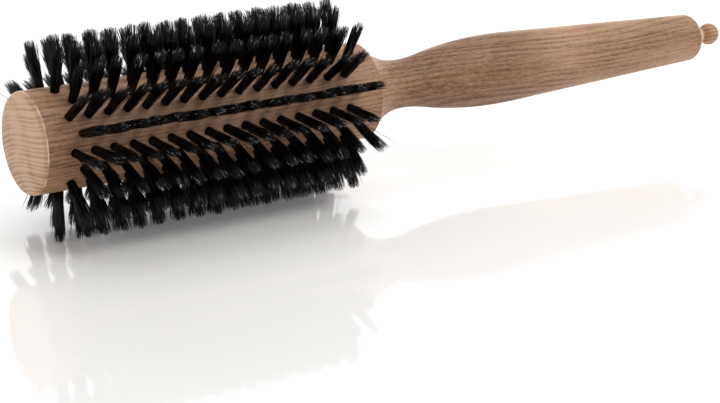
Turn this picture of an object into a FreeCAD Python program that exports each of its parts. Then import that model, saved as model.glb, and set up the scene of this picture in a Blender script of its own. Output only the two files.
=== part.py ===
# Round barrel brush: a barrel and handle turned in one piece of wood, rows of bristle tufts held in
# drilled holes by flat wire anchors, and a sectioning pick that pulls out of the handle's end.
#
# +X runs along the brush from the barrel's free end to the pick, and +Z is up. The brush lies on the
# bristle tips of its two lowest rows. The origin is under the middle of the brush, on that surface.
# Every piece is drawn with its axis on X and the barrel's free end at X = 0, and then placed.
import FreeCAD, Part
import math
import os

import Sketcher

doc = FreeCAD.newDocument("round_barrel_brush")
vec = FreeCAD.Vector

# Driving dimensions in millimetres, each with what it measures.
sizes = [
    ("barrel_radius", 15, "wooden barrel"),
    ("barrel_length", 112.5, "free end to the rim where the handle begins"),
    ("barrel_edge", 1.3, "rounding of the free end's rim"),
    ("handle_length", 135.9, "barrel rim to the flat end of the handle"),
    ("neck_offset", 15.7, "barrel rim to the narrowest section"),
    ("neck_radius", 7.6, "handle at its narrowest"),
    ("neck_hollow", 38, "curve that leaves the neck towards the belly"),
    ("belly_offset", 51.5, "barrel rim to the thickest section of the handle"),
    ("belly_radius", 11.4, "handle at its thickest"),
    ("belly_crown", 170, "curve that leaves the belly towards the tail"),
    ("tail_radius", 7.85, "handle where its end begins to round over"),
    ("tail_edge", 2.2, "rounding of the handle's end"),
    ("row_count", 18, "rows of tufts round the barrel, an even number"),
    ("tufts_in_row", 16, "tufts along one row"),
    ("front_margin", 9.2, "free end to the first tuft of a forward row"),
    ("back_margin", 8.75, "last tuft of a set-back row to the barrel rim"),
    ("tuft_length", 15, "bristle that stands out of the barrel"),
    ("hole_radius", 1.3, "tuft hole, and the tuft inside it"),
    ("hole_depth", 5, "tuft hole below the barrel's surface"),
    ("tip_radius", 1.9, "tuft where it has spread at its tip"),
    ("tip_dome", 2.7, "curve of the tuft's end"),
    ("anchor_thickness", 0.35, "flat anchor wire"),
    ("anchor_height", 1.5, "flat anchor wire, up the hole"),
    ("anchor_bite", 0.25, "how far each end of an anchor bites into the wood"),
    ("fold_thickness", 0.5, "folded bristle under the anchor"),
    ("pin_radius", 1.5, "shaft of the pick"),
    ("pin_length", 78, "shaft of the pick below its head"),
    ("pin_taper", 7, "length of the shaft's point"),
    ("pin_tip", 0.4, "radius of the shaft's blunt tip"),
    ("pin_socket", 4.6, "shaft glued into the head"),
    ("pin_clearance", 0.05, "running clearance round the shaft in the bush"),
    ("bore_clearance", 0.35, "clearance round the shaft in the handle's bore"),
    ("bore_spare", 2, "bore past the tip of the pick"),
    ("bush_wall", 0.7, "wall of the bush that grips the pick"),
    ("bush_length", 14, "bush inside the handle"),
    ("collar_foot", 3.5, "collar of the bush where it leaves the handle"),
    ("collar_radius", 3, "collar of the bush at its rim"),
    ("collar_length", 4, "collar of the bush, outside the handle"),
    ("collar_edge", 0.35, "rounding of the collar's rim"),
    ("head_radius", 3.65, "ball head of the pick"),
    ("head_neck", 2.1, "radius of the short neck under the ball"),
    ("head_drop", 4.4, "centre of the ball to the end of its neck"),
    ("head_gap", 0.1, "neck of the ball to the collar, with the pick home"),
]

sheet = doc.addObject("Spreadsheet::Sheet", "Sizes")
for line, (alias, value, note) in enumerate(sizes, start=1):
    sheet.set(f"A{line}", alias)
    sheet.set(f"B{line}", str(value))
    sheet.set(f"C{line}", note)
    sheet.setAlias(f"B{line}", alias)
doc.recompute()


# Formulas shared by several pieces. Each word stands for a cell of the sheet.
rim_x = "Sizes.barrel_length"
neck_x = f"{rim_x} + Sizes.neck_offset"
belly_x = f"{rim_x} + Sizes.belly_offset"
land_x = f"{rim_x} + Sizes.handle_length"
collar_x = f"{land_x} + Sizes.collar_length"
flat_x = f"{collar_x} + Sizes.head_gap"
tip_x = f"{flat_x} - Sizes.pin_length"
end_x = f"{flat_x} + Sizes.head_drop + Sizes.head_radius"
bush_x = f"{land_x} - Sizes.bush_length"
bush_bore = "Sizes.pin_radius + Sizes.pin_clearance"
bush_outside = f"{bush_bore} + Sizes.bush_wall"
stagger = ("(Sizes.barrel_length - Sizes.front_margin - Sizes.back_margin)"
           " / (2 * Sizes.tufts_in_row - 1)")
pitch = f"2 * {stagger}"
forward_x = "Sizes.front_margin"
set_back_x = f"Sizes.front_margin + {stagger}"
row_step = "360 / Sizes.row_count"
hole_bottom = "Sizes.barrel_radius - Sizes.hole_depth"
tuft_top = "Sizes.barrel_radius + Sizes.tuft_length"
dome_centre = f"{tuft_top} - Sizes.tip_dome"
axis_height = f"({dome_centre}) * cos(({row_step}) / 2) + Sizes.tip_dome"


def size_of(formula):
    """The present value of a formula, as a plain number."""
    return float(sheet.evalExpression(formula))


def origin_item(body, role):
    """One of the body's own origin planes or axes."""
    return next(item for item in body.Origin.OriginFeatures if item.Role == role)


def new_body(label):
    """A body with its label. Its sketches are drawn with the brush's free end at X = 0."""
    body = doc.addObject("PartDesign::Body", label)
    body.Label = label
    return body


def place_body(body, turn="0"):
    """Stands a body in the part's frame, turned about the brush's axis by an angle in degrees."""
    body.Placement = FreeCAD.Placement(vec(0, 0, 0), FreeCAD.Rotation(vec(1, 0, 0), 1))
    body.setExpression("Placement.Base.x", f"-({end_x}) / 2")
    body.setExpression("Placement.Base.z", axis_height)
    body.setExpression("Placement.Rotation.Angle", turn)


class Outline:
    """A closed outline in a sketch: corners in order, joined by lines and arcs."""

    def __init__(self, body, name, plane):
        self.sketch = body.newObject("Sketcher::SketchObject", name)
        self.sketch.AttachmentSupport = [(origin_item(body, plane), "")]
        self.sketch.MapMode = "FlatFace"
        self.edges = []

    def line(self, start, end):
        """A straight edge between two points."""
        index = self.sketch.addGeometry(Part.LineSegment(vec(*start), vec(*end)), False)
        self.edges.append((index, 1, 2))

    def arc(self, centre, start, end):
        """The shorter arc about a centre. An arc is stored counter-clockwise, whichever way it is run."""
        angles = [math.atan2(point[1] - centre[1], point[0] - centre[0]) for point in (start, end)]
        radius = math.hypot(start[0] - centre[0], start[1] - centre[1])
        ahead = (angles[1] - angles[0]) % (2 * math.pi) < math.pi
        first, last = angles if ahead else reversed(angles)
        circle = Part.Circle(vec(*centre), vec(0, 0, 1), radius)
        index = self.sketch.addGeometry(Part.ArcOfCircle(circle, first, last), False)
        self.edges.append((index, 1, 2) if ahead else (index, 2, 1))

    def close(self, smooth=()):
        """Joins each edge's end to the next edge's start, tangent after the edges listed in smooth."""
        for i, (edge, _, end) in enumerate(self.edges):
            after, start, _ = self.edges[(i + 1) % len(self.edges)]
            kind = "Tangent" if i in smooth else "Coincident"
            self.sketch.addConstraint(Sketcher.Constraint(kind, edge, end, after, start))

    def hold(self, corner, x=None, y=None):
        """Ties the start of an edge to formulas. A formula of "0" puts it on the sketch's own axis."""
        edge, start, _ = self.edges[corner]
        for kind, formula, axis in (("DistanceX", x, -2), ("DistanceY", y, -1)):
            if formula == "0":
                self.sketch.addConstraint(Sketcher.Constraint("PointOnObject", edge, start, axis))
            elif formula is not None:
                value = size_of(formula)
                index = self.sketch.addConstraint(Sketcher.Constraint(kind, -1, 1, edge, start, value))
                self.sketch.setExpression(f"Constraints[{index}]", formula)

    def radius(self, edge, formula):
        """Ties an arc's radius to a formula."""
        constraint = Sketcher.Constraint("Radius", self.edges[edge][0], size_of(formula))
        index = self.sketch.addConstraint(constraint)
        self.sketch.setExpression(f"Constraints[{index}]", formula)

    def centre_over(self, edge, corner):
        """Keeps an arc's centre level with a corner along X, so the outline is parallel to X there."""
        other, start, _ = self.edges[corner]
        self.sketch.addConstraint(Sketcher.Constraint("Vertical", self.edges[edge][0], 3, other, start))

    def centre_level(self, edge, corner):
        """Keeps an arc's centre level with a corner, so the outline is square to X there."""
        other, start, _ = self.edges[corner]
        self.sketch.addConstraint(Sketcher.Constraint("Horizontal", self.edges[edge][0], 3, other, start))


def polygon(body, name, plane, corners):
    """An outline of straight lines through corners given as pairs of formulas."""
    outline = Outline(body, name, plane)
    points = [(size_of(x), size_of(y)) for x, y in corners]
    for i, point in enumerate(points):
        outline.line(point, points[(i + 1) % len(points)])
    outline.close()
    for i, (x, y) in enumerate(corners):
        outline.hold(i, x, y)
    return outline.sketch


def turn_about_x(body, kind, name, sketch):
    """Adds material to a body, or cuts it, by turning a sketch about the brush's axis."""
    feature = body.newObject(f"PartDesign::{kind}", name)
    feature.Profile = sketch
    feature.ReferenceAxis = (sketch, ["H_Axis"])
    feature.Angle = 360
    body.Tip = feature
    return feature


def along_row(body, name, features):
    """Repeats features at every tuft of a row."""
    pattern = body.newObject("PartDesign::LinearPattern", name)
    pattern.Originals = features
    set_row(pattern, body)
    body.Tip = pattern
    return pattern


def set_row(pattern, body):
    """One step for each tuft of a row, along the brush."""
    pattern.Direction = (origin_item(body, "X_Axis"), [""])
    pattern.Mode = "Spacing"
    pattern.setExpression("Offset", pitch)
    pattern.setExpression("Occurrences", "Sizes.tufts_in_row")


def wood_outline(body):
    """Half the turned outline of barrel and handle, from the free end to the flat end at the tail."""
    radius, edge = size_of("Sizes.barrel_radius"), size_of("Sizes.barrel_edge")
    rim = (size_of(rim_x), radius)
    neck = (size_of(neck_x), size_of("Sizes.neck_radius"))
    belly = (size_of(belly_x), size_of("Sizes.belly_radius"))
    land = size_of(land_x)
    tail = (land - size_of("Sizes.tail_edge"), size_of("Sizes.tail_radius"))

    # The flare from the rim down to the neck ends level, so its centre is straight above the neck.
    run, drop = neck[0] - rim[0], rim[1] - neck[1]
    flare = (neck[0], neck[1] + (run ** 2 + drop ** 2) / (2 * drop))

    # From neck to belly: a hollow arc and a crowned arc, level at both ends and tangent where they meet.
    run, rise = belly[0] - neck[0], belly[1] - neck[1]
    both = (run ** 2 + rise ** 2) / (2 * rise)
    hollow_radius = size_of("Sizes.neck_hollow")
    hollow = (neck[0], neck[1] + hollow_radius)
    swell = (belly[0], belly[1] - both + hollow_radius)
    share = hollow_radius / both
    meet = (neck[0] + share * run, hollow[1] + share * (swell[1] - hollow[1]))

    # From the belly an arc runs into a straight taper that ends where the tail rounds over.
    crown_radius = size_of("Sizes.belly_crown")
    crown = (belly[0], belly[1] - crown_radius)
    away = (tail[0] - crown[0], tail[1] - crown[1])
    angle = math.atan2(away[1], away[0]) + math.acos(crown_radius / math.hypot(*away))
    leave = (crown[0] + crown_radius * math.cos(angle), crown[1] + crown_radius * math.sin(angle))

    # The rounding of the tail is tangent to the taper and to the flat end.
    slope = math.atan2(tail[1] - leave[1], tail[0] - leave[0])
    bend = size_of("Sizes.tail_edge") / (1 + math.sin(slope))
    rounding = (land - bend, tail[1] - bend * math.cos(slope))
    end = (land, rounding[1])

    outline = Outline(body, "turned_outline", "XY_Plane")
    outline.line((0, 0), (0, radius - edge))
    outline.arc((edge, radius - edge), (0, radius - edge), (edge, radius))
    outline.line((edge, radius), rim)
    outline.arc(flare, rim, neck)
    outline.arc(hollow, neck, meet)
    outline.arc(swell, meet, belly)
    outline.arc(crown, belly, leave)
    outline.line(leave, tail)
    outline.arc(rounding, tail, end)
    outline.line(end, (land, 0))
    outline.line((land, 0), (0, 0))
    outline.close(smooth=(4, 6, 7))
    outline.hold(0, "0", "0")
    outline.hold(1, "0", "Sizes.barrel_radius - Sizes.barrel_edge")
    outline.hold(2, "Sizes.barrel_edge", "Sizes.barrel_radius")
    outline.radius(1, "Sizes.barrel_edge")
    outline.hold(3, rim_x, "Sizes.barrel_radius")
    outline.hold(4, neck_x, "Sizes.neck_radius")
    outline.centre_over(3, 4)
    outline.centre_over(4, 4)
    outline.radius(4, "Sizes.neck_hollow")
    outline.hold(6, belly_x, "Sizes.belly_radius")
    outline.centre_over(5, 6)
    outline.centre_over(6, 6)
    outline.radius(6, "Sizes.belly_crown")
    outline.hold(8, f"{land_x} - Sizes.tail_edge", "Sizes.tail_radius")
    outline.hold(9, land_x)
    outline.centre_level(8, 9)
    outline.hold(10, land_x, "0")
    return outline.sketch


def tuft_holes(body, name, first_x, turn):
    """Blind holes for every second row. The seed hole is cut outwards from the depth of its bottom."""
    sketch = body.newObject("Sketcher::SketchObject", f"{name}_sketch")
    sketch.AttachmentSupport = [(origin_item(body, "XY_Plane"), "")]
    sketch.MapMode = "FlatFace"
    sketch.AttachmentOffset = FreeCAD.Placement(vec(0, 0, 0), FreeCAD.Rotation(vec(1, 0, 0), 1))
    sketch.setExpression("AttachmentOffset.Rotation.Angle", turn)
    sketch.setExpression("AttachmentOffset.Base.y", f"-({hole_bottom}) * sin({turn})")
    sketch.setExpression("AttachmentOffset.Base.z", f"({hole_bottom}) * cos({turn})")
    circle = sketch.addGeometry(Part.Circle(vec(size_of(first_x), 0, 0), vec(0, 0, 1), 1), False)
    sketch.addConstraint(Sketcher.Constraint("PointOnObject", circle, 3, -1))
    place = sketch.addConstraint(Sketcher.Constraint("DistanceX", -1, 1, circle, 3, size_of(first_x)))
    sketch.setExpression(f"Constraints[{place}]", first_x)
    wide = sketch.addConstraint(Sketcher.Constraint("Radius", circle, size_of("Sizes.hole_radius")))
    sketch.setExpression(f"Constraints[{wide}]", "Sizes.hole_radius")
    drill = body.newObject("PartDesign::Pocket", f"{name}_seed")
    drill.Profile = sketch
    drill.Type = "ThroughAll"
    drill.Reversed = True
    doc.recompute()

    pattern = body.newObject("PartDesign::MultiTransform", name)
    row = body.newObject("PartDesign::LinearPattern", f"{name}_row")
    set_row(row, body)
    ring = body.newObject("PartDesign::PolarPattern", f"{name}_ring")
    ring.Axis = (origin_item(body, "X_Axis"), [""])
    ring.Angle = 360
    ring.setExpression("Occurrences", "Sizes.row_count / 2")
    pattern.Originals = [drill]
    pattern.Transformations = [row, ring]
    body.Tip = pattern


def make_wood():
    """Barrel and handle in one turned piece, bored for the pick and drilled for the tufts."""
    body = new_body("barrel_handle")
    turn_about_x(body, "Revolution", "turned", wood_outline(body))
    bore_radius = "Sizes.pin_radius + Sizes.bore_clearance"
    bore_x = f"{tip_x} - Sizes.bore_spare"
    steps = [(bore_x, "0"), (bore_x, bore_radius), (bush_x, bore_radius), (bush_x, bush_outside),
             (land_x, bush_outside), (land_x, "0")]
    turn_about_x(body, "Groove", "pick_bore", polygon(body, "bore_outline", "XY_Plane", steps))
    tuft_holes(body, "forward_holes", forward_x, f"({row_step}) / 2")
    tuft_holes(body, "set_back_holes", set_back_x, f"({row_step}) * 3 / 2")
    place_body(body)


def make_bush():
    """Bush pressed into the handle's end. Its tube grips the pick and its collar shows."""
    body = new_body("pick_bush")
    outline = Outline(body, "bush_outline", "XY_Plane")
    left, land, right = size_of(bush_x), size_of(land_x), size_of(collar_x)
    bore, outside = size_of(bush_bore), size_of(bush_outside)
    foot, collar = size_of("Sizes.collar_foot"), size_of("Sizes.collar_radius")
    edge = size_of("Sizes.collar_edge")
    outline.line((left, bore), (left, outside))
    outline.line((left, outside), (land, outside))
    outline.line((land, outside), (land, foot))
    outline.line((land, foot), (right - edge, collar))
    outline.arc((right - edge, collar - edge), (right - edge, collar), (right, collar - edge))
    outline.line((right, collar - edge), (right, bore))
    outline.line((right, bore), (left, bore))
    outline.close()
    outline.hold(0, bush_x, bush_bore)
    outline.hold(1, bush_x, bush_outside)
    outline.hold(2, land_x, bush_outside)
    outline.hold(3, land_x, "Sizes.collar_foot")
    outline.hold(4, f"{collar_x} - Sizes.collar_edge", "Sizes.collar_radius")
    outline.radius(4, "Sizes.collar_edge")
    outline.hold(5, collar_x, "Sizes.collar_radius - Sizes.collar_edge")
    outline.hold(6, collar_x, bush_bore)
    turn_about_x(body, "Revolution", "bush", outline.sketch)
    place_body(body)


def make_pick_head():
    """Ball head of the pick, on a short neck that faces the collar, with a socket for the shaft."""
    body = new_body("pick_head")
    flat, drop = size_of(flat_x), size_of("Sizes.head_drop")
    neck, pin = size_of("Sizes.head_neck"), size_of("Sizes.pin_radius")
    end, bottom = size_of(end_x), size_of(f"{flat_x} + Sizes.pin_socket")
    join = flat + drop - math.sqrt(size_of("Sizes.head_radius") ** 2 - neck ** 2)
    outline = Outline(body, "ball_outline", "XY_Plane")
    outline.line((flat, pin), (flat, neck))
    outline.line((flat, neck), (join, neck))
    outline.arc((flat + drop, 0), (join, neck), (end, 0))
    outline.line((end, 0), (bottom, 0))
    outline.line((bottom, 0), (bottom, pin))
    outline.line((bottom, pin), (flat, pin))
    outline.close()
    outline.hold(0, flat_x, "Sizes.pin_radius")
    outline.hold(1, flat_x, "Sizes.head_neck")
    outline.hold(2, None, "Sizes.head_neck")
    outline.radius(2, "Sizes.head_radius")
    outline.sketch.addConstraint(Sketcher.Constraint("PointOnObject", outline.edges[2][0], 3, -1))
    outline.hold(3, end_x, "0")
    outline.hold(4, f"{flat_x} + Sizes.pin_socket", "0")
    outline.hold(5, f"{flat_x} + Sizes.pin_socket", "Sizes.pin_radius")
    turn_about_x(body, "Revolution", "ball", outline.sketch)
    place_body(body)


def make_pick_pin():
    """Shaft of the pick, tapered to a blunt point and glued into the head."""
    body = new_body("pick_pin")
    root_x = f"{flat_x} + Sizes.pin_socket"
    shoulder_x = f"{tip_x} + Sizes.pin_taper"
    corners = [(tip_x, "0"), (tip_x, "Sizes.pin_tip"), (shoulder_x, "Sizes.pin_radius"),
               (root_x, "Sizes.pin_radius"), (root_x, "0")]
    turn_about_x(body, "Revolution", "pin", polygon(body, "pin_outline", "XY_Plane", corners))
    place_body(body)


def anchor_section(body, first_x):
    """Flat anchor wire seen from the side, across the bottom of the row's first hole."""
    half = "(Sizes.hole_radius + Sizes.anchor_bite)"
    left, right = f"{first_x} - {half}", f"{first_x} + {half}"
    low = f"{hole_bottom} + Sizes.fold_thickness"
    high = f"{low} + Sizes.anchor_height"
    corners = [(left, low), (right, low), (right, high), (left, high)]
    return polygon(body, "anchor_side", "XZ_Plane", corners)


def row_turn(row):
    """Angle of a row from straight up. The two lowest rows stand evenly about straight down."""
    return f"({row} + 0.5) * {row_step}"


def make_tuft_row(row, first_x):
    """A row of tufts: straight in the hole, spreading outside it, domed, and slotted for the anchor."""
    body = new_body(f"tuft_row_{row + 1:02d}")
    middle, hole, tip = size_of(first_x), size_of("Sizes.hole_radius"), size_of("Sizes.tip_radius")
    low, surface, top = size_of(hole_bottom), size_of("Sizes.barrel_radius"), size_of(tuft_top)
    centre = size_of(dome_centre)
    shoulder = centre + math.sqrt(size_of("Sizes.tip_dome") ** 2 - tip ** 2)
    outline = Outline(body, "tuft_outline", "XZ_Plane")
    outline.line((middle, low), (middle + hole, low))
    outline.line((middle + hole, low), (middle + hole, surface))
    outline.line((middle + hole, surface), (middle + tip, shoulder))
    outline.arc((middle, centre), (middle + tip, shoulder), (middle, top))
    outline.line((middle, top), (middle, low))
    outline.close()
    outline.hold(0, first_x, hole_bottom)
    outline.hold(1, f"{first_x} + Sizes.hole_radius", hole_bottom)
    outline.hold(2, f"{first_x} + Sizes.hole_radius", "Sizes.barrel_radius")
    outline.hold(3, f"{first_x} + Sizes.tip_radius")
    outline.hold(4, first_x, tuft_top)
    outline.radius(3, "Sizes.tip_dome")
    outline.centre_over(3, 4)
    axis = outline.sketch.addGeometry(Part.LineSegment(vec(middle, 0, 0), vec(middle, low, 0)), True)
    outline.sketch.addConstraint(Sketcher.Constraint("PointOnObject", axis, 1, -1))
    outline.sketch.addConstraint(Sketcher.Constraint("Coincident", axis, 2, outline.edges[0][0], 1))
    outline.sketch.addConstraint(Sketcher.Constraint("Vertical", axis))
    tuft = body.newObject("PartDesign::Revolution", "tuft")
    tuft.Profile = outline.sketch
    tuft.ReferenceAxis = (outline.sketch, ["Axis0"])
    tuft.Angle = 360
    slot = body.newObject("PartDesign::Pocket", "anchor_slot")
    slot.Profile = anchor_section(body, first_x)
    slot.Midplane = True
    slot.setExpression("Length", "Sizes.anchor_thickness")
    along_row(body, "tufts", [tuft, slot])
    place_body(body, row_turn(row))


def make_anchor_row(row, first_x):
    """The flat wire anchors that hold one row's tufts."""
    body = new_body(f"anchor_row_{row + 1:02d}")
    wire = body.newObject("PartDesign::Pad", "wire")
    wire.Profile = anchor_section(body, first_x)
    wire.Midplane = True
    wire.setExpression("Length", "Sizes.anchor_thickness")
    along_row(body, "wires", [wire])
    place_body(body, row_turn(row))


make_wood()
make_bush()
make_pick_head()
make_pick_pin()
for row in range(int(size_of("Sizes.row_count"))):
    first_x = set_back_x if row % 2 else forward_x
    make_tuft_row(row, first_x)
    make_anchor_row(row, first_x)
doc.recompute()

# Nothing is written unless every object is sound and every piece has the solids it should have.
for item in doc.Objects:
    if "Invalid" in item.State or "Error" in item.State:
        raise RuntimeError(f"{item.Name} did not build: {item.State}")
bodies = [item for item in doc.Objects if item.TypeId == "PartDesign::Body"]
for body in bodies:
    wanted = int(size_of("Sizes.tufts_in_row")) if "_row_" in body.Label else 1
    if body.Shape.isNull() or not body.Shape.isValid() or len(body.Shape.Solids) != wanted:
        raise RuntimeError(f"{body.Label} has a bad shape")

os.makedirs("parts", exist_ok=True)
for body in bodies:
    body.Shape.exportStep(f"parts/{body.Label}.step")
print(f"{len(bodies)} pieces, brush {size_of(end_x):.1f} long, axis {size_of(axis_height):.2f} up")
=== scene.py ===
import math

import bpy
import numpy as np
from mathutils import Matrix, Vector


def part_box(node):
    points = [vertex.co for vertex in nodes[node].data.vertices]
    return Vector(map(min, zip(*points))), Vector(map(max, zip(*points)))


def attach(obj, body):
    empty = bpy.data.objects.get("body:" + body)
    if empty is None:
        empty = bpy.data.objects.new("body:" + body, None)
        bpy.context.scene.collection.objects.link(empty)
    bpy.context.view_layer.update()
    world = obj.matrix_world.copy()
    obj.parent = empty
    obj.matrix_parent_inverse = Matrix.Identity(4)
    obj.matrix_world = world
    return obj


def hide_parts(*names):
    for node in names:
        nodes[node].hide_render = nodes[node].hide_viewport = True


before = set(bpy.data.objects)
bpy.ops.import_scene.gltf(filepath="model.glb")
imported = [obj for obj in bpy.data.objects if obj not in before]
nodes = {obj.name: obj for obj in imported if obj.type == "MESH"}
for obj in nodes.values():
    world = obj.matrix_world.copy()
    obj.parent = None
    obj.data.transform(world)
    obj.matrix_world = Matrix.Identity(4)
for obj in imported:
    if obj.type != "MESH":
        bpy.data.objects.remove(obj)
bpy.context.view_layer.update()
mm = 0.001


class Num:
    # a socket that carries a value, with arithmetic that adds Math nodes
    def __init__(self, paint, socket):
        self.paint, self.socket = paint, socket

    def math(self, operation, *others, flip=False):
        values = [self, *others]
        if flip:
            values.reverse()
        return self.paint.node("ShaderNodeMath", {"operation": operation}, dict(enumerate(values)))

    def __add__(self, other): return self.math("ADD", other)
    def __radd__(self, other): return self.math("ADD", other)
    def __sub__(self, other): return self.math("SUBTRACT", other)
    def __rsub__(self, other): return self.math("SUBTRACT", other, flip=True)
    def __mul__(self, other): return self.math("MULTIPLY", other)
    def __rmul__(self, other): return self.math("MULTIPLY", other)
    def __truediv__(self, other): return self.math("DIVIDE", other)
    def __pow__(self, other): return self.math("POWER", other)
    def __abs__(self): return self.math("ABSOLUTE")

    def fract(self): return self.math("FRACT")
    def clamp(self): return self.math("MINIMUM", 1.0).math("MAXIMUM", 0.0)

    def between(self, low, high):
        # 0 at low, 1 at high, eased between them
        return self.paint.node("ShaderNodeMapRange", {"interpolation_type": "SMOOTHSTEP"},
                               {"Value": self, "From Min": low, "From Max": high})


class Tree:
    # a node tree with a single way to add a node
    def __init__(self, tree):
        self.tree = tree

    def plug(self, socket, value):
        if isinstance(value, Num):
            self.tree.links.new(value.socket, socket)
        else:
            socket.default_value = value

    def node(self, kind, settings=None, values=None, out=0):
        made = self.tree.nodes.new(kind)
        for key, value in (settings or {}).items():
            if key == "stops":
                ramp = made.color_ramp
                while len(ramp.elements) < len(value):
                    ramp.elements.new(0.5)
                for stop, (place, colour) in zip(ramp.elements, value):
                    stop.position, stop.color = place, (*colour, 1)
            else:
                setattr(made, key, value)
        for key, value in (values or {}).items():
            self.plug(made.inputs[key], value)
        return Num(self, made.outputs[out])

    def split(self, vector):
        parts = self.node("ShaderNodeSeparateXYZ", values={0: vector})
        outs = parts.socket.node.outputs
        return [Num(self, outs[i]) for i in range(3)]


class Paint(Tree):
    # one material and its surface shader
    def __init__(self, name, **surface):
        self.material = bpy.data.materials.new(name)
        self.material.use_nodes = True
        super().__init__(self.material.node_tree)
        self.surface = self.tree.nodes["Principled BSDF"]
        for socket, value in surface.items():
            self.set(socket.replace("_", " "), value)

    def set(self, socket, value):
        self.plug(self.surface.inputs[socket], value)

    def place(self):
        # the point on the piece, in millimetres of its own space
        point = self.node("ShaderNodeTexCoord", out="Object")
        return self.node("ShaderNodeVectorMath", {"operation": "SCALE"},
                         {0: point, "Scale": 1 / mm})

    def join(self, x, y, z):
        return self.node("ShaderNodeCombineXYZ", values={0: x, 1: y, 2: z})

    def noise(self, vector, scale=1.0, detail=2.0, rough=0.5):
        return self.node("ShaderNodeTexNoise", values={
            "Vector": vector, "Scale": scale, "Detail": detail, "Roughness": rough})

    def drawnOut(self, point, lengthwise, crosswise, shift=0.0, **kind):
        # noise with one scale along X and another across it; the shift sets it apart from others
        x, y, z = point
        return self.noise(self.join(x * lengthwise + shift, y * crosswise, z * crosswise), **kind)

    def mix(self, share, first, second):
        return self.node("ShaderNodeMix", {"data_type": "RGBA"},
                         {0: share, 6: first, 7: second}, out=2)

    def ramp(self, value, stops):
        return self.node("ShaderNodeValToRGB", {"stops": stops}, {0: value})

    def bump(self, height, strength, distance):
        self.set("Normal", self.node("ShaderNodeBump", values={
            "Height": height, "Strength": strength, "Distance": distance}))


def rgb(red, green, blue):
    # a screen colour, 0 to 255, as the linear values that a shader takes
    level = np.array([red, green, blue]) / 255
    linear = np.where(level > 0.04045, ((level + 0.055) / 1.055) ** 2.4, level / 12.92)
    return tuple(float(v) for v in linear)


view = {
    "stand": (-378.6, -548.3, 217.3),  # mm, where the camera stands
    "turn": (71.157, -1.114, -33.142),  # degrees about X, Y and Z
    "lens": 110.2,
    "sensor": 36.0,
    "nearest": 0.01,  # m
}
camera = bpy.data.objects.new("camera", bpy.data.cameras.new("camera"))
bpy.context.scene.collection.objects.link(camera)
camera.location = [v * mm for v in view["stand"]]
camera.rotation_euler = [math.radians(v) for v in view["turn"]]
camera.data.lens = view["lens"]
camera.data.sensor_width = view["sensor"]
camera.data.clip_start = view["nearest"]
bpy.context.scene.camera = camera

studio = {
    "floorSize": 12.0,
    "floorColour": rgb(246, 246, 246),
    "floorRoughness": 0.06,
    "floorIor": 1.9,
    "floorGlow": 0.09,
    "backdrop": 1.0,  # what the camera sees behind the floor
    "skyLight": 0.21,  # what falls on the brush from all round
    "horizon": 1.7,  # what gloss mirrors near the horizon, on top of that
    "horizonFade": (0.04, 0.75),  # height, as a share of straight up, over which it fades
    "mirroredFrom": 0.6,  # m, lamps hung lower than this show in no reflection
    # name, where it hangs, where it points, width and depth in m, power in W, colour
    "lamps": [
        ("lampTop", (0.1, 0.35, 1.2), (0.0, 0.0, 0.0), 1.8, 0.9, 8.0, (1.0, 0.99, 0.97)),
        ("lampBack", (0.95, 1.35, 0.55), (0.0, 0.0, 0.02), 2.6, 1.0, 30.0, (0.98, 0.99, 1.0)),
        ("lampFront", (-1.35, -0.2, 0.4), (-0.13, 0.0, 0.03), 0.8, 0.8, 7.0, (1.0, 0.98, 0.94)),
        ("lampKey", (0.55, -0.65, 1.1), (0.06, 0.0, 0.03), 0.8, 0.8, 9.5, (1.0, 0.97, 0.93)),
    ],
}


def aimedLamp(name, place, target, width, depth, power, colour):
    lamp = bpy.data.lights.new(name, "AREA")
    lamp.shape = "RECTANGLE"
    lamp.size, lamp.size_y = width, depth
    lamp.energy, lamp.color = power, colour
    lampObject = bpy.data.objects.new(name, lamp)
    bpy.context.scene.collection.objects.link(lampObject)
    lampObject.location = place
    away = np.array(place) - np.array(target)
    lampObject.rotation_euler = (math.acos(away[2] / np.linalg.norm(away)), 0,
                                 math.atan2(away[1], away[0]) + math.pi / 2)
    lampObject.visible_camera = False
    lampObject.visible_glossy = place[2] > studio["mirroredFrom"]


def studioFloor():
    half = studio["floorSize"] / 2
    corners = [(-half, -half, 0), (half, -half, 0), (half, half, 0), (-half, half, 0)]
    mesh = bpy.data.meshes.new("floor")
    mesh.from_pydata(corners, [], [(0, 1, 2, 3)])
    floor = bpy.data.objects.new("floor", mesh)
    bpy.context.scene.collection.objects.link(floor)
    paint = Paint("whiteAcrylic", Roughness=studio["floorRoughness"], IOR=studio["floorIor"],
                  Emission_Strength=studio["floorGlow"])
    paint.set("Base Color", (*studio["floorColour"], 1))
    mesh.materials.append(paint.material)


def studioWorld():
    # the camera sees the backdrop; the brush is lit by the sky; gloss mirrors a brighter horizon
    world = bpy.data.worlds.new("studio")
    bpy.context.scene.world = world
    world.use_nodes = True
    tree = Tree(world.node_tree)
    upward = tree.split(tree.node("ShaderNodeTexCoord", out="Generated"))[2]
    glossy = tree.node("ShaderNodeLightPath", out="Is Glossy Ray")
    seen = tree.node("ShaderNodeLightPath", out="Is Camera Ray")
    low = 1 - upward.between(*studio["horizonFade"])
    sky = studio["skyLight"] + glossy * studio["horizon"] * low
    background = world.node_tree.nodes["Background"]
    background.inputs["Color"].default_value = (1, 1, 1, 1)
    tree.plug(background.inputs["Strength"], sky * (1 - seen) + studio["backdrop"] * seen)


studioFloor()
studioWorld()
for lamp in studio["lamps"]:
    aimedLamp(*lamp)
bpy.context.scene.view_settings.view_transform = "Standard"
print("stage: floor, world and lamps")

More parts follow.
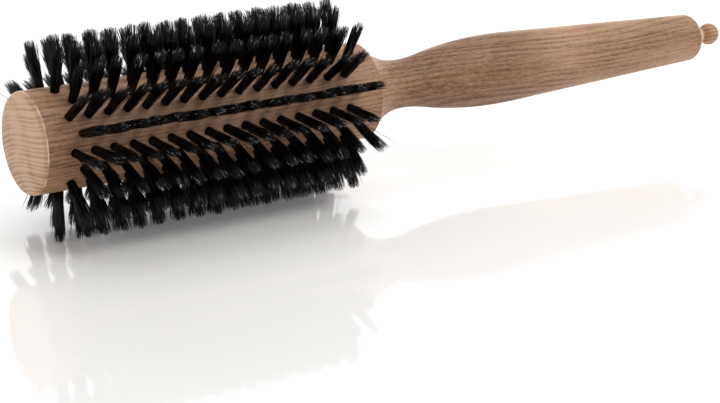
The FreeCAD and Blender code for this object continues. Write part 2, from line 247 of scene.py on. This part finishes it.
# what the frame says about the brush
rowNames = sorted(name for name in nodes if name.startswith("tuft_row_"))
woodLow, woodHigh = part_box("barrel_handle")
headLow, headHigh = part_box("pick_head")
axisHeight = (headLow.z + headHigh.z) / 2
barrelRadius = (woodHigh.z - woodLow.z) / 2
tuftReach = max(abs(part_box(name)[0].y) for name in rowNames)
freeEnd = woodLow.x / mm

barrelWood = {
    "pale": rgb(196, 157, 126), "middle": rgb(164, 125, 96), "dark": rgb(106, 70, 44),
    "pore": rgb(70, 45, 30),
    # the last colour here is a painted highlight for the free end's rounded edge
    "endPale": rgb(194, 158, 128), "endDark": rgb(148, 108, 78), "ridgeHighlight": rgb(232, 206, 182),
    "gloss": 0.4,
    "heart": (-19.0, -52.0),  # mm, where the growth rings are centred, beside and below the axis
    "ringWidth": 1.45,  # mm
    "ringDrift": 9.0, "ringSway": 0.6,  # mm, how far slow and quicker noise bend a ring
    "ringUneven": 3.2,  # mm, how far noise shifts a ring among its neighbours
    "figure": (148.0, 42.0),  # mm, from the free end to the darker figure's middle, half its length
    "rounding": (2.0, 2.4),  # mm from the free end, where end grain gives way to long grain
}


def grain(paint, look):
    # Growth rings: distance from a line along X well outside the piece, bent a little by slow
    # noise and unevenly spaced, strong in some places and faint in others. Pores: short dashes
    # of noise drawn out along X, mostly in the early part of each ring. The darker figure is a
    # soft hump along X, broken up by broad noise.
    point = x, y, z = paint.split(paint.place())
    heartY, heartZ = look["heart"]
    fromY = y - heartY
    fromZ = z - (heartZ + axisHeight / mm)
    drift = paint.drawnOut(point, 0.010, 0.035, detail=0.0)
    sway = paint.drawnOut(point, 0.03, 0.12, shift=40.0, detail=1.0)
    radius = ((fromY * fromY + fromZ * fromZ) ** 0.5
              + (drift - 0.5) * look["ringDrift"] + (sway - 0.5) * look["ringSway"])
    uneven = paint.noise(paint.join(radius * 0.30, x * 0.01, 0.0), detail=1.0)
    ring = ((radius + (uneven - 0.5) * look["ringUneven"]) / look["ringWidth"]).fract()
    strong = paint.noise(paint.join(x * 0.035 + 70, y * 0.07, z * 0.16), detail=1.0)
    early = ((1 - ring.between(0.10, 0.60) + ring.between(0.84, 1.0))
             * (strong.between(0.30, 0.60) * 0.75 + 0.25))
    fine = paint.drawnOut(point, 0.50, 3.2, detail=3.0, rough=0.7)
    streak = paint.drawnOut(point, 0.035, 1.3, shift=20.0, detail=3.0, rough=0.6)
    middle, half = look["figure"]
    hump = 1 - (abs(x - (freeEnd + middle)) / half).clamp().between(0.25, 1.0)
    patch = paint.drawnOut(point, 0.022, 0.11, shift=7.0, detail=2.0)
    broad = (patch - 0.5) * 0.9 - hump * (patch.between(0.30, 0.55) * 0.24 + 0.06)
    dash = paint.drawnOut(point, 0.42, 2.8, shift=90.0, detail=2.0, rough=0.65)
    pores = dash.between(0.53, 0.66) * (early * 0.8 + 0.2)
    return x, early, fine, streak, broad, pores


def turnedWood():
    look = barrelWood
    paint = Paint("turnedOak", Specular_IOR_Level=look["gloss"])
    x, early, fine, streak, broad, pores = grain(paint, look)
    tone = 0.56 + broad + (fine - 0.5) * 1.1 + (streak - 0.5) * 0.8 - early * 0.20
    long = paint.ramp(tone.clamp(),
                      [(0.08, look["dark"]), (0.5, look["middle"]), (0.95, look["pale"])])
    long = paint.mix(pores * 0.6, long, (*look["pore"], 1))

    # the free end: end grain as far as the rounding, with a painted highlight where the rounding
    # ends
    outward = abs(paint.split(paint.node("ShaderNodeTexCoord", out="Normal"))[0])
    near, far = look["rounding"]
    free = 1 - x.between(freeEnd + near, freeEnd + far)
    fleck = paint.noise(paint.place(), scale=1.1, detail=4.0, rough=0.75)
    cloud = paint.noise(paint.place(), scale=0.16, detail=1.0)
    endTone = 0.84 - early * (0.30 + fleck * 0.6) + (fleck - 0.5) * 1.1 + (cloud - 0.5) * 0.9
    end = paint.ramp(endTone.clamp(), [(0.05, look["endDark"]), (0.85, look["endPale"])])
    # painted highlight: a pale band on the outer part of the rounding, chosen by the surface's
    # normal, where the edge would catch the light
    ridgeHighlight = outward.between(0.04, 0.10) * (1 - outward.between(0.22, 0.40))
    end = paint.mix(ridgeHighlight * cloud.between(0.3, 0.6) * 0.85, end, (*look["ridgeHighlight"], 1))
    paint.set("Base Color", paint.mix(outward.between(0.02, 0.10) * free, long, end))
    paint.set("Roughness", 0.46 + (fine - 0.5) * 0.2 + pores * 0.2)
    paint.bump(fine * 0.4 - pores, 0.3, 0.2 * mm)
    return paint.material


tufts = {
    "perRow": 16,
    "bristles": 120,
    "holeRadius": 1.3, "tipRadius": 1.9,  # mm, the bundle in its hole and at its tip
    "holeFilled": 0.92,  # share of the hole's radius that the bundle takes
    "spiral": 2.39996,  # radians from one bristle to the next, as in a sunflower
    "fan": (1.22, 0.70),  # the tip disc's spread along the barrel and round it
    "clumps": 13, "pull": (0.1, 0.65),  # and the share of the way a bristle is pulled to its clump
    "lean": 0.4, "loose": 0.15,  # mm at the tip, of a whole tuft and of each bristle
    "strays": 0.09, "strayReach": 1.1,  # share of the bristles, and mm
    "longest": 0.25,  # mm past the tuft's own length
    "ragged": (1.5, 0.55),  # shape and scale in mm of how much shorter bristles are
    "dome": 0.7, "uneven": 0.15,  # mm, a tuft's rounded top, and from tuft to tuft
    "bow": 0.14,  # mm, how far a bristle bends
    "steps": (0.0, 0.42, 0.76, 1.0),  # the rings along a bristle
    "taper": (1, 1, 0.85, 0.30),  # its thickness at them
    "thickness": 0.22,  # mm, one bristle
    "rootDepth": 2.4,  # mm below the barrel's surface
    "seed": 4100,
    # the last colour is a painted glint, given to the tips of a few bristles
    "black": rgb(4, 3, 4), "grey": rgb(30, 27, 30), "glintTip": rgb(208, 205, 206),
    "gloss": 0.22,
}
sides = 3  # of a bristle


def tuftBundles(look, rng):
    # Each bristle's centre, across the tuft, as a point of a sunflower disc in the hole and of a
    # wider disc at the tip, pulled there towards a few clumps. Also how far out it is in the disc.
    count, each = shape = look["perRow"], look["bristles"]
    holeRadius, tipRadius = look["holeRadius"] * mm, look["tipRadius"] * mm
    order = np.arange(each) + 0.5
    spiral = order * look["spiral"] + rng.uniform(0, 2 * math.pi, (count, 1))
    disc = np.sqrt(order / each) * (1 + rng.normal(0, 0.03, shape))
    root = np.stack([disc * np.cos(spiral), disc * np.sin(spiral)], -1)
    root = root * holeRadius * look["holeFilled"]

    clumpAngle = rng.uniform(0, 2 * math.pi, (count, look["clumps"]))
    clumpOut = rng.uniform(0.1, 1.1, (count, look["clumps"]))
    clumps = np.stack([clumpOut * np.cos(clumpAngle), clumpOut * np.sin(clumpAngle)], -1)
    clumps = clumps * tipRadius
    spread = root * (tipRadius * rng.uniform(0.85, 1.15, (count, 1, 1)) / holeRadius)
    gap = np.linalg.norm(spread[:, :, None] - clumps[:, None], axis=-1)
    nearest = np.take_along_axis(clumps, gap.argmin(-1)[..., None], 1)
    pull = rng.uniform(*look["pull"], shape)[..., None]
    lean = rng.normal(0, look["lean"], (count, 1, 2)) * mm
    stray = rng.normal(0, look["strayReach"], (*shape, 2)) * mm
    stray = stray * (rng.random(shape) < look["strays"])[..., None]
    loose = rng.normal(0, look["loose"], (*shape, 2)) * mm
    tip = (spread + (nearest - spread) * pull + lean + stray + loose) * look["fan"]
    return disc, root, tip


def tubeFaces(total, rings):
    # the walls and both ends of every bristle, whose points are numbered ring by ring
    base = np.arange(total)[:, None, None] * rings * sides
    level = np.arange(rings - 1)[None, :, None] * sides
    spoke = np.arange(sides)[None, None, :]
    here, beside = base + level + spoke, base + level + (spoke + 1) % sides
    walls = np.stack([here, beside, beside + sides, here + sides], -1).reshape(-1, 4)
    last = (rings - 1) * sides
    ends = base[:, 0] + np.array([0, 2, 1, last, last + 1, last + 2])
    return [*walls.tolist(), *ends.reshape(-1, sides).tolist()]


def bristleRow(number):
    # every bristle of a row is a three-sided tube that thins towards its tip
    look = tufts
    rng = np.random.default_rng(look["seed"] + number)
    name = rowNames[number]
    low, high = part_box(name)
    turn = math.radians((number + 0.5) * 360 / len(rowNames))
    count, each = shape = look["perRow"], look["bristles"]
    total, rings = count * each, len(look["steps"])
    steps = np.array(look["steps"])
    edge = look["tipRadius"] * mm
    middles = np.linspace(low.x + edge, high.x - edge, count)[:, None]
    disc, root, tip = tuftBundles(look, rng)

    start = barrelRadius - look["rootDepth"] * mm
    shorter = rng.gamma(*look["ragged"], shape)
    stop = (tuftReach + (look["longest"] - shorter - look["dome"] * disc ** 2) * mm
            + rng.normal(0, look["uneven"], (count, 1)) * mm)
    bow = rng.normal(0, look["bow"], (*shape, 2)) * mm
    across = (root[:, :, None] + (tip - root)[:, :, None] * (steps ** 1.25)[:, None]
              + bow[:, :, None] * (4 * steps * (1 - steps))[:, None])
    up = start + (stop - start)[..., None] * steps

    thick = (look["thickness"] / 2 * mm * rng.uniform(0.8, 1.15, shape)[..., None]
             * np.array(look["taper"]))
    corner = (rng.uniform(0, 2 * math.pi, shape)[..., None, None]
              + np.arange(sides) * 2 * math.pi / sides)
    along = middles[..., None, None] + across[..., 0, None] + thick[..., None] * np.cos(corner)
    side = across[..., 1, None] + thick[..., None] * np.sin(corner)
    up = np.broadcast_to(up[..., None], along.shape)
    y = side * math.cos(turn) - up * math.sin(turn)
    z = side * math.sin(turn) + up * math.cos(turn) + axisHeight
    clear = 0.05 * mm  # above the floor
    points = np.stack([along, y, np.maximum(z, clear)], -1).reshape(-1, 3)

    mesh = bpy.data.meshes.new(name.replace("tuft_row", "bristles"))
    mesh.from_pydata(points, [], tubeFaces(total, rings))
    mesh.polygons.foreach_set("use_smooth", np.ones(len(mesh.polygons), bool))
    strands = np.repeat(rng.random(total), rings * sides)
    heights = np.tile(np.repeat(steps, sides), total)
    for label, values in (("strand", strands), ("height", heights)):
        attribute = mesh.attributes.new(label, "FLOAT", "POINT")
        attribute.data.foreach_set("value", values.astype(np.float32))
    piece = bpy.data.objects.new(mesh.name, mesh)
    bpy.context.scene.collection.objects.link(piece)
    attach(piece, "brush")
    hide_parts(name)
    return piece


def bristleBlack():
    look = tufts
    paint = Paint("blackBristle", Specular_IOR_Level=look["gloss"])
    strand = paint.node("ShaderNodeAttribute", {"attribute_name": "strand"}, out="Fac")
    height = paint.node("ShaderNodeAttribute", {"attribute_name": "height"}, out="Fac")
    greyer = strand.between(0.80, 0.90) * 0.7
    colour = paint.mix(greyer, (*look["black"], 1), (*look["grey"], 1))
    # painted glints: a few bristles get near-white tips, standing in for glints of light off the
    # tips
    split = strand.between(0.930, 0.935) * height.between(0.88, 0.98)
    paint.set("Base Color", paint.mix(split, colour, (*look["glintTip"], 1)))
    paint.set("Roughness", 0.12 + (strand * 7.3).fract() * 0.25)
    return paint.material


collar = {"dark": rgb(216, 178, 148), "light": rgb(238, 206, 178), "roughness": 0.45}


def collarWood():
    paint = Paint("collarWood", Roughness=collar["roughness"])
    fine = paint.drawnOut(paint.split(paint.place()), 0.25, 2.6, detail=3.0)
    paint.set("Base Color", paint.ramp(fine, [(0.3, collar["dark"]), (0.7, collar["light"])]))
    paint.bump(fine, 0.2, 0.1 * mm)
    return paint.material


ball = {"dark": rgb(150, 106, 74), "light": rgb(190, 152, 118), "roughness": 0.38}


def ballWood():
    paint = Paint("ballWood")
    point = x, y, z = paint.split(paint.place())
    warp = paint.drawnOut(point, 0.3, 0.3, detail=1.0)
    band = (z * 0.8 + y * 0.3 + warp * 0.8).fract()
    fine = paint.drawnOut(point, 0.4, 3.0, detail=3.0)
    tone = band.between(0.2, 0.9) * 0.4 + fine * 0.6
    paint.set("Base Color", paint.ramp(tone, [(0.2, ball["dark"]), (0.8, ball["light"])]))
    paint.set("Roughness", ball["roughness"] + fine * 0.15)
    paint.bump(fine, 0.15, 0.1 * mm)
    return paint.material


pin = {"dark": rgb(22, 21, 21), "light": rgb(40, 38, 37), "roughness": 0.25, "gloss": 0.5}


def pinPlastic():
    paint = Paint("pinPlastic", Specular_IOR_Level=pin["gloss"])
    scuff = paint.drawnOut(paint.split(paint.place()), 0.2, 3.0, detail=3.0)
    paint.set("Base Color", paint.ramp(scuff, [(0.3, pin["dark"]), (0.8, pin["light"])]))
    paint.set("Roughness", pin["roughness"] + scuff * 0.25)
    return paint.material


anchor = {"dark": rgb(120, 118, 114), "light": rgb(190, 188, 184), "roughness": 0.3}


def anchorSteel():
    paint = Paint("anchorSteel", Metallic=1.0)
    drawn = paint.drawnOut(paint.split(paint.place()), 0.6, 9.0, detail=2.0)
    paint.set("Base Color", paint.ramp(drawn, [(0.3, anchor["dark"]), (0.8, anchor["light"])]))
    paint.set("Roughness", anchor["roughness"] + drawn * 0.2)
    return paint.material


def dress(name, material):
    mesh = nodes[name].data
    mesh.materials.clear()
    mesh.materials.append(material)


dress("barrel_handle", turnedWood())
dress("pick_bush", collarWood())
dress("pick_head", ballWood())
dress("pick_pin", pinPlastic())
steel = anchorSteel()
for name in nodes:
    if name.startswith("anchor_row_"):
        dress(name, steel)
print("wood, bush, pick and anchors dressed")

black = bristleBlack()
for number in range(len(rowNames)):
    bristleRow(number).data.materials.append(black)
print("bristles:", len(rowNames), "rows")
